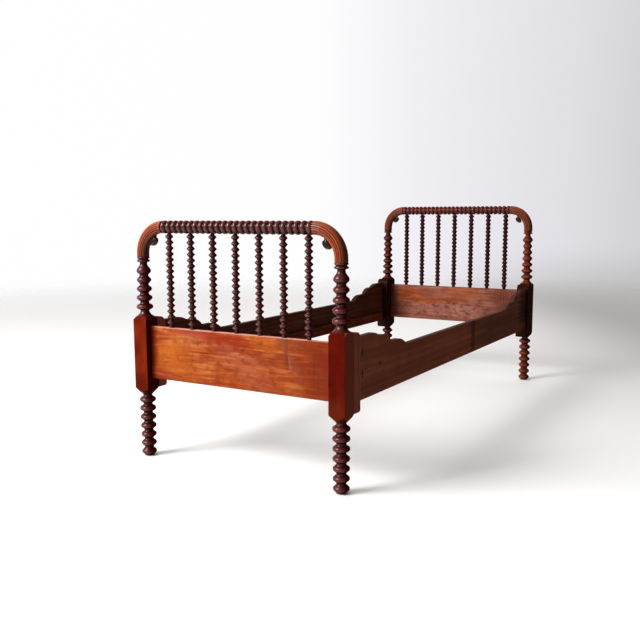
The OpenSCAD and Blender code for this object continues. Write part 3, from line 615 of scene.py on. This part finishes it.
def buildPost(end, side, material):
    p = post
    leg, upper = postCurves(end, np.random.default_rng(7 + ends[end] * 2 + sides[side]))
    # rings lie close together at the block's two shoulders and far apart between them
    low = np.arange(p["legTop"] - 2, p["legTop"] + 31, 1.0)
    middle = np.arange(p["legTop"] + 34, p["blockTop"] - 20, 12.0)
    high = np.arange(p["blockTop"] - 18, p["blockTop"] + 16.6, 0.9)
    z = np.concatenate([low, middle, high])
    shoulder = p["legWaist"] + (z - p["legTop"]) * p["slope"]
    topEdge = p["blockHalf"] + (p["blockTop"] - z) * p["slope"]
    # over the block the shoulder runs out in a hollow to the waist of the first spool
    t = np.clip((z - p["blockTop"]) / p["tail"], 0, 1)
    tail = p["waist"] + (p["blockHalf"] - p["tailIn"] - p["waist"]) * (1 - t) ** p["tailPower"]
    topEdge = np.where(z > p["blockTop"], tail, np.maximum(topEdge, tail))
    turned = softMin(shoulder, topEdge, p["shoulderEdge"])
    turned = np.maximum(turned, np.where(z < p["legTop"] + 5, p["legWaist"], p["waist"]))
    angle = postAngles()
    # a square with slightly eased corners: half / (|cos|^n + |sin|^n)^(1 / n)
    power = p["cornerPower"]
    square = p["blockHalf"] / (np.abs(np.cos(angle)) ** power + np.abs(np.sin(angle)) ** power) ** (1 / power)
    block = softMin(turned[:, None], square[None, :], p["blockEdge"])
    legRings = np.broadcast_to(leg[1][:, None], (leg.shape[1], len(angle)))
    upperRings = np.broadcast_to(upper[1][:, None], (upper.shape[1], len(angle)))
    radius = np.vstack([legRings, block, upperRings])
    height = np.concatenate([leg[0], z, upper[0]])
    # wear along the block's four upright edges
    corner = np.clip((square[None, :] / p["blockHalf"] - p["wearAndHighlightFrom"]) / p["wearOver"], 0, 1)
    corner = corner * (turned[:, None] > p["blockHalf"] + 6)
    blockRelief = p["blockRelief"] + (1 - p["blockRelief"]) * corner
    relief = np.vstack([np.broadcast_to(leg[2][:, None], legRings.shape), blockRelief,
                        np.broadcast_to(upper[2][:, None], upperRings.shape)])
    level = (height > p["legTop"] + 8) & (height < p["blockTop"] + 2)
    inBlock = np.clip((radius - p["zoneFrom"]) / p["zoneOver"], 0, 1) * level[:, None]
    # each face of the block gets its own zone and tone, which paint in the light and shade on that face
    sideways = np.abs(np.cos(angle)) > np.abs(np.sin(angle))
    outwards = np.cos(angle) * sides[side] > 0
    faceZone = np.where(sideways, np.where(outwards, p["outerZone"], p["innerZone"]), 1.0)
    inBlock = inBlock * faceZone[None, :]
    # the turned parts get painted shade on the flank away from the windows
    zone = np.maximum(inBlock, paintedShadeFlank(angle) * (inBlock < 0.01))
    centre = [sides[side] * postX, ends[end] * postY, 0]
    rings = asPoints(radius * np.cos(angle), radius * np.sin(angle), height[:, None]) + centre
    piece = gridMesh(f"post_{end}_{side}_turned", rings, relief=relief, zone=zone)
    return seatPiece(piece, "root", f"post_{end}_{side}", material)


for end in ends:
    for side in sides:
        buildPost(end, side, (footPostWood if end == "foot" else headPostWood)[side])
print("posts turned")

# corner arcs and their carved scrolls
arc = {
    "radius": 94.5, "half": 21.2, "straight": 9.1, "reed": 7.1, "quirk": 1.7, "quirkWide": 1.25, "steps": 44,
    "round": 160, "sideShift": 400, "endShift": 190, "shade": 0.3, "shadeFrom": 0.38, "shadeOver": 0.45,
}


def buildArc(end, side, material):
    a = arc
    phi = circleAngles(a["round"])
    places = [a["reed"] * (1.5 - k) for k in range(4)]
    dip = 0
    for place in places:
        for face in (1, -1):
            at = face * math.acos(place / a["half"])
            away = (phi - at + math.pi) % (2 * math.pi) - math.pi
            dip = dip + np.exp(-(away * a["half"] / a["quirkWide"]) ** 2)
    section = a["half"] - a["quirk"] * dip
    # the path: straight up from the collar, then a quarter of a circle; local x runs inwards
    turn = np.linspace(0, math.pi / 2, a["steps"] + 1)
    start = [0, a["straight"] / 2, a["straight"]]
    pathX = np.concatenate([[0, 0, 0], a["radius"] * (1 - np.cos(turn[1:]))])
    pathZ = np.concatenate([start, a["straight"] + a["radius"] * np.sin(turn[1:])])
    lean = np.concatenate([[0, 0, 0], turn[1:]])
    outX, outZ = -np.cos(lean), np.sin(lean)
    out = section * np.cos(phi)
    back = section * np.sin(phi)
    rings = asPoints(pathX[:, None] + outX[:, None] * out, back, pathZ[:, None] + outZ[:, None] * out)
    # the grain follows the bend, from another part of the wood in each arc
    length = np.concatenate([start, a["straight"] + a["radius"] * turn[1:]])
    length = length + a["sideShift"] * (1 + sides[side]) + a["endShift"] * (1 + ends[end])
    grain = asPoints(out, back, length[:, None])
    flip = np.array([-sides[side], -ends[end], 1])
    centre = np.array([sides[side] * postX, ends[end] * postY, springZ(end)])
    rings = rings * flip + centre
    # here too the side away from the windows gets painted shade
    right = np.cos(lean)[:, None] * np.cos(phi) * sides[side]
    zone = a["shade"] * np.clip((right - a["shadeFrom"]) / a["shadeOver"], 0, 1)
    relief = np.clip(1 - dip, 0, 1)[None, :]
    piece = gridMesh(f"arc_{end}_{side}_reeded", rings, relief=relief, grain=grain, zone=zone)
    return seatPiece(piece, "root", f"arc_{end}_{side}", material)


scroll = {
    "radius": 10.6, "long": 16.9, "thick": 14.8, "back": 2.2, "inset": 12, "turns": 1.6, "relief": 2.2,
    "rim": 1.4, "peakIn": 0.3, "stemAt": -39, "stemWide": 15, "stem": 9.5, "rings": 40, "round": 112,
}


def buildScroll(end, side, material):
    # two oval faces with a spiral roll cut in them: the height is a wave of the distance from the middle
    # less the angle, so its ridge winds inwards; a stem joins the oval to the arc
    s = scroll
    rho = np.sin(np.linspace(0.04, 1, s["rings"]) * math.pi / 2)
    t, f = np.meshgrid(rho, circleAngles(s["round"]), indexing="ij")
    away = (np.degrees(f) - s["stemAt"] + 180) % 360 - 180
    stem = 1 + s["stem"] / s["radius"] * np.exp(-(away / s["stemWide"]) ** 4) * t ** 3
    wave = 0.5 + 0.5 * np.cos(2 * math.pi * (s["turns"] * t - f / (2 * math.pi)))
    edge = np.clip((1 - t) * s["radius"] / s["rim"], 0, 1)
    roundOff = np.sqrt(np.clip(1 - (1 - edge) ** 2, 0, 1))
    top = s["thick"] / 2 - s["rim"] * (1 - roundOff) - s["relief"] * (1 - wave) * edge
    # across the oval towards the arc, and along the arc towards the post
    across, along = t * stem * s["radius"] * np.cos(f), t * stem * s["long"] * np.sin(f)
    x, z = (-across - along) * math.sqrt(0.5), (across - along) * math.sqrt(0.5)
    rings = np.concatenate([np.stack([x, top, z], axis=-1), np.stack([x, -top, z], axis=-1)[::-1]])
    relief = np.concatenate([wave, wave[::-1]])
    reach = (arc["radius"] - arc["half"] - s["inset"]) * math.sqrt(0.5)
    flip = np.array([-sides[side], -ends[end], 1])
    centre = np.array([sides[side] * postX, ends[end] * postY, springZ(end)])
    place = np.array([arc["radius"] - reach, s["back"], arc["straight"] + reach])
    peak = np.array([0, s["thick"] / 2 - s["peakIn"], 0])
    rings, low, high = ((v + place) * flip + centre for v in (rings, peak, -peak))
    piece = gridMesh(f"drop_{end}_{side}_carved", rings, low, high, relief=relief)
    return seatPiece(piece, "root", f"drop_{end}_{side}", material)


for end in ends:
    for side in sides:
        buildArc(end, side, arcWood[end])
        buildScroll(end, side, dropWood)
print("arcs and scrolls made")

# top rails and spindles
topRail = {
    "spools": 26, "crest": 22.4, "waist": 16.5, "round": 11, "rings": 56, "steps": 20,
    "tenon": 10, "tenonLong": 18, "inside": 0.05,
}
spindle = {
    "perEnd": 7, "every": 4, "ridge": 14.25, "uneven": 0.5, "waist": {"foot": 7.2, "head": 8.6}, "pitch": 20,
    "crest": 0.17, "hollow": 0.25, "foot": 8, "gap": 0.4, "inset": 5, "tenon": 5.5, "tenonLong": 17.9,
    "inside": 0.05, "rings": 40,
}
railLength = 2 * (postX - arc["radius"])
railStep = railLength / topRail["spools"]


def railZ(end):
    return springZ(end) + arc["straight"] + arc["radius"]


def buildTopRail(end, material):
    t = topRail
    rise = t["crest"] - t["round"]
    low = math.asin((t["waist"] - rise) / t["round"])
    a = np.linspace(math.pi - low, low, t["steps"] + 1)
    half = railLength / 2
    shoulder, tip = half - t["inside"], half + t["tenonLong"]
    parts = [plainCurve((-tip, t["tenon"], 0), (-shoulder, t["tenon"], 0), (-shoulder, t["waist"], 0))]
    for k in range(t["spools"]):
        middle = (k + 0.5 - t["spools"] / 2) * railStep
        parts.append(np.stack([middle + t["round"] * np.cos(a), rise + t["round"] * np.sin(a),
                               (np.sin(a) - math.sin(low)) / (1 - math.sin(low))]))
    parts.append(plainCurve((shoulder, t["waist"], 0), (shoulder, t["tenon"], 0), (tip, t["tenon"], 0)))
    curve = np.hstack(parts)
    rings = revolve(curve, t["rings"])[..., [2, 0, 1]]
    centre = np.array([0, ends[end] * postY, railZ(end)])
    piece = gridMesh(f"top_rail_{end}_turned", rings + centre, relief=curve[2][:, None])
    return seatPiece(piece, "root", f"top_rail_{end}", material)


def buildSpindle(end, number, bottom, material):
    s = spindle
    waist = s["waist"][end]
    top = railZ(end) - topRail["crest"] - s["gap"]
    first = bottom + s["foot"]
    count = round((top - first) / s["pitch"])
    step = (top - first) / count
    parts = [plainCurve((bottom - s["tenonLong"], s["tenon"], 0), (bottom, s["tenon"], 0),
                        (bottom + s["inside"], waist, 0), (first, waist, 0))]
    rng = np.random.default_rng(number + (10 if end == "head" else 0))
    for k in range(count):
        ridge = s["ridge"] - rng.uniform(0, s["uneven"])
        parts.append(waveCurve(first + (k + 0.5) * step, step / 2, waist, ridge, s["crest"] * step,
                               s["hollow"] * step, 5))
    parts.append(plainCurve((top, s["tenon"], 0), (top + s["tenonLong"], s["tenon"], 0)))
    curve = np.hstack(parts)
    x = (number - 1 - (s["perEnd"] - 1) / 2) * s["every"] * railStep
    centre = np.array([x, ends[end] * (postY - s["inset"]), 0])
    rings = revolve(curve, s["rings"]) + centre
    # painted shade on the flank away from the windows
    zone = paintedShadeFlank(circleAngles(s["rings"]))
    piece = gridMesh(f"spindle_{end}_{number}_turned", rings, relief=curve[2][:, None], zone=zone)
    return seatPiece(piece, "root", f"spindle_{end}_{number}", material)


for end in ends:
    buildTopRail(end, topRailWood[end])
    panelTop = boxMm(f"panel_{end}")[1][2]
    for number in range(1, spindle["perEnd"] + 1):
        buildSpindle(end, number, panelTop, spindleWood[end])
print("top rails and spindles turned")

# boards
board = {
    "edge": 1.6, "ledgerEdge": 1.2, "warp": 0.25, "warpSize": 420, "inside": 0.05,
    "cleatTop": 25, "cleatFoot": {"foot": 9, "head": 15}, "curlGap": 8,
}


def insideBox(node):
    # a board's box less a hair on each side, so that what shows stays within the construction
    low, high = boxMm(node)
    return low + board["inside"], high - board["inside"]


def buildPanel(end, material):
    low, high = boxMm(f"panel_{end}")
    halfX = postX - post["blockHalf"] + board["inside"]
    middle = (low + high) / 2
    width, height = high[1] - low[1] - 2 * board["inside"], high[2] - low[2] - 2 * board["inside"]
    y, z = roundedRing(width, height, board["edge"])
    x = np.linspace(-halfX, halfX, 60)
    rings = asPoints(x[:, None], y + middle[1], z + middle[2])
    dent = wander(rings, board["warp"], board["warpSize"], 3 + ends[end])
    rings[..., 1] -= np.sign(y) * np.abs(dent)
    centre = np.array([0, middle[1], middle[2]])
    piece = gridMesh(f"panel_{end}_board", rings, centre - [halfX, 0, 0], centre + [halfX, 0, 0], sharp=30)
    return seatPiece(piece, "root", f"panel_{end}", material)


def buildCleat(end, side, material):
    low, high = insideBox(f"cleat_{end}_{side}")
    t = np.linspace(0, math.pi / 2, 14)
    lowCurl, topCurl = board["cleatFoot"][end], board["cleatTop"]
    gap = board["curlGap"]
    straight = np.linspace(low[2] + lowCurl + gap, high[2] - topCurl - gap, 20)
    lowZ, topZ = low[2] + lowCurl * (1 - np.cos(t)), high[2] - topCurl * (1 - np.cos(t[::-1]))
    z = np.concatenate([lowZ, straight, topZ])
    cut = np.concatenate([lowCurl * (1 - np.sin(t)), 0 * straight, topCurl * (1 - np.sin(t[::-1]))])
    px, py = roundedRing(high[0] - low[0], high[1] - low[1], board["edge"])
    depth = high[1] - low[1]
    share = (py + depth / 2) / depth
    # the curls are cut into the side towards the middle of the bed
    if ends[end] < 0:
        y = low[1] + share[None, :] * (depth - cut[:, None])
    else:
        y = high[1] - (1 - share)[None, :] * (depth - cut[:, None])
    rings = asPoints(px + (low[0] + high[0]) / 2, y, z[:, None])
    piece = gridMesh(f"cleat_{end}_{side}_board", rings, sharp=30)
    return seatPiece(piece, "root", f"cleat_{end}_{side}", material)


sideRail = {
    "flat": {"foot": 102, "head": 72}, "lobes": ((62, 16, 22), (70, 30, 42), (80, 26, 0)), "hollow": 0.25,
    "edge": 2.0, "scrolled": 400, "step": 2.5, "ring": 100, "shadedTopBand": 1.2,
}


def railTop(distance, flat):
    # height over the straight middle at a distance from the rail's end. Each lobe is a length, its fall and
    # the level step after it; it falls along a circle and levels out in a smaller hollow one, which meet at
    # the angle 2 atan(fall / length)
    start = flat
    height = np.zeros_like(distance)
    for length, fall, step in sideRail["lobes"]:
        turn = 2 * math.atan2(fall, length)
        both = length / math.sin(turn)
        hollow = both * sideRail["hollow"]
        big = both - hollow
        x = np.clip(distance - start, 0, length)
        split = big * math.sin(turn)
        early = big - np.sqrt(big ** 2 - np.minimum(x, split) ** 2)
        late = fall - hollow + np.sqrt(np.maximum(hollow ** 2 - (length - x) ** 2, 0))
        height += fall - np.where(x < split, early, late)
        start += length + step
    return height


def buildSideRail(side, material):
    s = sideRail
    low, high = insideBox(f"side_rail_{side}")
    reach = (high[1] - low[1]) / 2
    straight = high[2] - sum(lobe[1] for lobe in s["lobes"])
    # close steps over the scrolled end, and wide ones from there to the middle
    scrolled = np.arange(0, s["scrolled"], s["step"])
    half = np.concatenate([scrolled - reach, np.linspace(s["scrolled"] + 2 * s["step"] - reach, 0, 24)[:-1]])
    y = np.concatenate([half, [0], -half[::-1]])
    distance = reach - np.abs(y)
    footTop, headTop = (railTop(distance, s["flat"][end]) for end in ends)
    top = straight + np.where(y < 0, footTop, headTop)
    px, pz = roundedRing(high[0] - low[0], s["ring"], s["edge"])
    # the upper half of the ring moves with the top edge
    z = np.where(pz > 0, top[:, None] + (pz - s["ring"] / 2), low[2] + (pz + s["ring"] / 2))
    rings = asPoints(px + (low[0] + high[0]) / 2, y[:, None], z)
    # the top edge is painted darker, as shade, and is more polished than the faces
    edge = np.clip(pz - (s["ring"] / 2 - s["shadedTopBand"]), 0, 1)[None, :]
    piece = gridMesh(f"side_rail_{side}_board", rings, zone=edge, sharp=30)
    return seatPiece(piece, f"rail_{side}", f"side_rail_{side}", material)


def buildLedger(side, material):
    low, high = insideBox(f"ledger_{side}")
    px, pz = roundedRing(high[0] - low[0], high[2] - low[2], board["ledgerEdge"])
    y = np.linspace(low[1], high[1], 60)
    rings = asPoints(px + (low[0] + high[0]) / 2, y[:, None], pz + (low[2] + high[2]) / 2)
    piece = gridMesh(f"ledger_{side}_strip", rings, sharp=30)
    return seatPiece(piece, f"rail_{side}", f"ledger_{side}", material)


buildPanel("foot", panelWood)
buildPanel("head", headPanelWood)
for side in sides:
    buildSideRail(side, sideWood[side])
    buildLedger(side, ledgerWood)
    for end in ends:
        buildCleat(end, side, cleatWood[end])
print("boards planed")

# ironwork: the construction's own solids with forged finishes
for name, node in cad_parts.items():
    if name.startswith(("hook_", "keeper_")) or "screws" in name:
        node.data.materials.clear()
        node.data.materials.append(screwIron if "screws" in name else hookIron)
print("ironwork finished")

# floor, light and camera
studio = {
    "floorTone": "#fcfbf9", "bounceTone": "#8f8e8b", "floorRough": 0.55, "floorShine": 0.1,
    "floorRings": (0.4, 1, 2, 3, 4, 5, 6, 7, 8, 9), "floorSteps": 96, "fadeFrom": 3.4, "fadeTo": 8.5,
    "floorPaintedShade": "#b9b7b2", "floorPaintedShadeFrom": 0.7, "floorPaintedShadeTo": 2.4,
    "rightWay": (0.86, 0.51, 0.0), "wall": (
        (0.0, "#ffffff"), (0.5, "#fefeff"), (0.56, "#f0eff3"), (0.65, "#e0dfe4"), (0.8, "#a4a4a8"),
        (1.0, "#838386")),
    "bright": 1.25, "dim": 0.1, "brightWay": (-0.9, 0.0, 0.45), "brightFrom": -0.15, "brightTo": 0.7,
    "bandTone": "#a8a6a0", "bandMix": 0.45, "bandLow": -0.09, "bandHigh": -0.03, "bandFrom": 0.1,
    "bandTo": 0.34,
    "behindWay": (0.5, -0.85, 0.0), "behindTone": "#b4b4b7", "behind": (-0.1, 0.5), "ceiling": (0.3, 0.75),
    "keyPlace": (-2.2, -3.7, 3.2), "keyAim": (0, 0, 0.5), "keySize": (2.0, 2.0), "keyPower": 240,
    "keyTint": (1.0, 0.985, 0.97),
}


def seenRays(tree):
    # 1 for what the camera sees itself, in a gloss or through glass, 0 for light that falls on things
    path = addNode(tree, "LightPath", "Is Camera Ray", {})
    seen = addNode(tree, "Math", "Value", {"operation": "ADD", 0: path, 1: (path[0], "Is Glossy Ray")})
    return addNode(tree, "Math", "Value", {
        "operation": "ADD", "use_clamp": True, 0: seen, 1: (path[0], "Is Transmission Ray")})


def makeFloor():
    # a white painted floor, hardly shiny, greyer towards the right as painted shade, that fades into the wall
    # behind
    s = studio
    angle = circleAngles(s["floorSteps"])
    rings = s["floorRings"]
    verts = [[0, 0, 0]] + [[r * math.cos(a), r * math.sin(a), 0] for r in rings for a in angle]
    n = len(angle)
    faces = [[0, 1 + k, 1 + (k + 1) % n] for k in range(n)]
    for i in range(len(rings) - 1):
        inner, outer = 1 + i * n, 1 + (i + 1) * n
        faces += [[inner + k, outer + k, outer + (k + 1) % n, inner + (k + 1) % n] for k in range(n)]
    mesh = bpy.data.meshes.new("studioFloor")
    mesh.from_pydata(verts, [], faces)
    floor = newObject("studioFloor", mesh)
    material, tree, shader = newMaterial("paintedFloor")
    place = addNode(tree, "TexCoord", "Object", {})
    # painted shade: the floor's colour turns greyer to the right of the bed
    right = addNode(tree, "VectorMath", "Value", {"operation": "DOT_PRODUCT", 0: place, 1: s["rightWay"]})
    tone = blend(tree, right, s["floorTone"], s["floorPaintedShade"], s["floorPaintedShadeFrom"], s["floorPaintedShadeTo"],
                 curve="SMOOTHSTEP")
    tone = addNode(tree, "Mix", 2, {**mixing, 0: seenRays(tree), 6: s["bounceTone"], 7: tone})
    setNode(tree, shader, {
        "Base Color": tone, "Roughness": s["floorRough"], "Specular IOR Level": s["floorShine"]})
    # far from the bed the floor fades into the backdrop's white
    far = addNode(tree, "VectorMath", "Value", {"operation": "LENGTH", 0: place})
    fade = addNode(tree, "MapRange", "Result", {
        **smooth, "Value": far, "From Min": s["fadeFrom"], "From Max": s["fadeTo"]})
    clear = addNode(tree, "BsdfTransparent", "BSDF", {})
    surface = addNode(tree, "MixShader", "Shader", {0: fade, 1: (shader, "BSDF"), 2: clear})
    setNode(tree, tree.nodes["Material Output"], {"Surface": surface})
    mesh.materials.append(material)


def makeWorld():
    # a white room with its windows on the left. The light is bright from the left and dim from the right; the
    # wall that shows is white on the left and falls to a cool grey on the right, as painted shade
    s = studio
    world = bpy.data.worlds.new("whiteRoom")
    bpy.context.scene.world = world
    world.use_nodes = True
    tree = world.node_tree
    place = addNode(tree, "TexCoord", "Generated", {})
    toward = np.array(s["brightWay"]) / np.linalg.norm(s["brightWay"])
    facing, right, behind = (
        addNode(tree, "VectorMath", "Value", {"operation": "DOT_PRODUCT", 0: place, 1: list(way)})
        for way in (toward, s["rightWay"], s["behindWay"]))
    level = addNode(tree, "MapRange", "Result", {
        **smooth, "Value": facing, "From Min": s["brightFrom"], "From Max": s["brightTo"],
        "To Min": s["dim"], "To Max": s["bright"]})
    along = addNode(tree, "MapRange", "Result", {"Value": right, "From Min": -1.0, "From Max": 1.0})
    shown = addNode(tree, "ValToRGB", "Color", {"Fac": along})
    setRamp(shown[0], s["wall"])
    # painted shade: a darker band low on the right, where the wall meets the floor
    height = addNode(tree, "SeparateXYZ", "Z", {0: place})
    low = addNode(tree, "MapRange", "Result", {
        **smooth, "Value": height, "From Min": s["bandLow"], "From Max": s["bandHigh"],
        "To Min": 1.0, "To Max": 0.0})
    across = addNode(tree, "MapRange", "Result", {
        **smooth, "Value": right, "From Min": s["bandFrom"], "From Max": s["bandTo"], "To Max": s["bandMix"]})
    band = addNode(tree, "Math", "Value", {"operation": "MULTIPLY", 0: low, 1: across})
    shown = addNode(tree, "Mix", 2, {**mixing, 0: band, 6: shown, 7: s["bandTone"]})
    # the room behind the camera and the ceiling are darker, so that gloss on the turnings stays clear
    for value, span in ((behind, s["behind"]), (height, s["ceiling"])):
        shown = blend(tree, value, shown, s["behindTone"], *span, curve="SMOOTHSTEP")
    colour = addNode(tree, "Mix", 2, {**mixing, 0: seenRays(tree), 6: level, 7: shown})
    setNode(tree, tree.nodes["Background"], {"Color": colour})


def makeKey():
    s = studio
    lamp = bpy.data.lights.new("windowLight", "AREA")
    lamp.shape = "RECTANGLE"
    lamp.size, lamp.size_y = s["keySize"]
    lamp.energy = s["keyPower"]
    lamp.color = s["keyTint"]
    holder = newObject("windowLight", lamp)
    holder.location = s["keyPlace"]
    aim = Vector(s["keyAim"]) - Vector(s["keyPlace"])
    holder.rotation_euler = aim.to_track_quat("-Z", "Y").to_euler()


# the camera was solved from the two end boards: place in millimetres, angles in degrees
view = {
    "place": (1547.5, -3059.5, 860.1), "turn": 30.633, "dip": 7.553, "roll": -0.182,
    "lens": 44.02, "sensor": 36.0,
}


def makeCamera():
    v = view
    turn, dip, roll = (math.radians(v[k]) for k in ("turn", "dip", "roll"))
    forward = np.array([-math.sin(turn) * math.cos(dip), math.cos(turn) * math.cos(dip), -math.sin(dip)])
    right = np.array([math.cos(turn), math.sin(turn), 0])
    up = np.cross(right, forward)
    rolledRight = right * math.cos(roll) + up * math.sin(roll)
    rolledUp = -right * math.sin(roll) + up * math.cos(roll)
    camera = bpy.data.cameras.new("photoView")
    camera.lens, camera.sensor_width = v["lens"], v["sensor"]
    camera.clip_start, camera.clip_end = 0.05, 100
    holder = newObject("photoView", camera)
    turnMatrix = Matrix([[rolledRight[i], rolledUp[i], -forward[i]] for i in range(3)]).to_4x4()
    holder.matrix_world = Matrix.Translation([c / 1000 for c in v["place"]]) @ turnMatrix
    bpy.context.scene.camera = holder


makeFloor()
makeWorld()
makeKey()
makeCamera()
bpy.context.scene.view_settings.view_transform = "Standard"
print("studio ready")
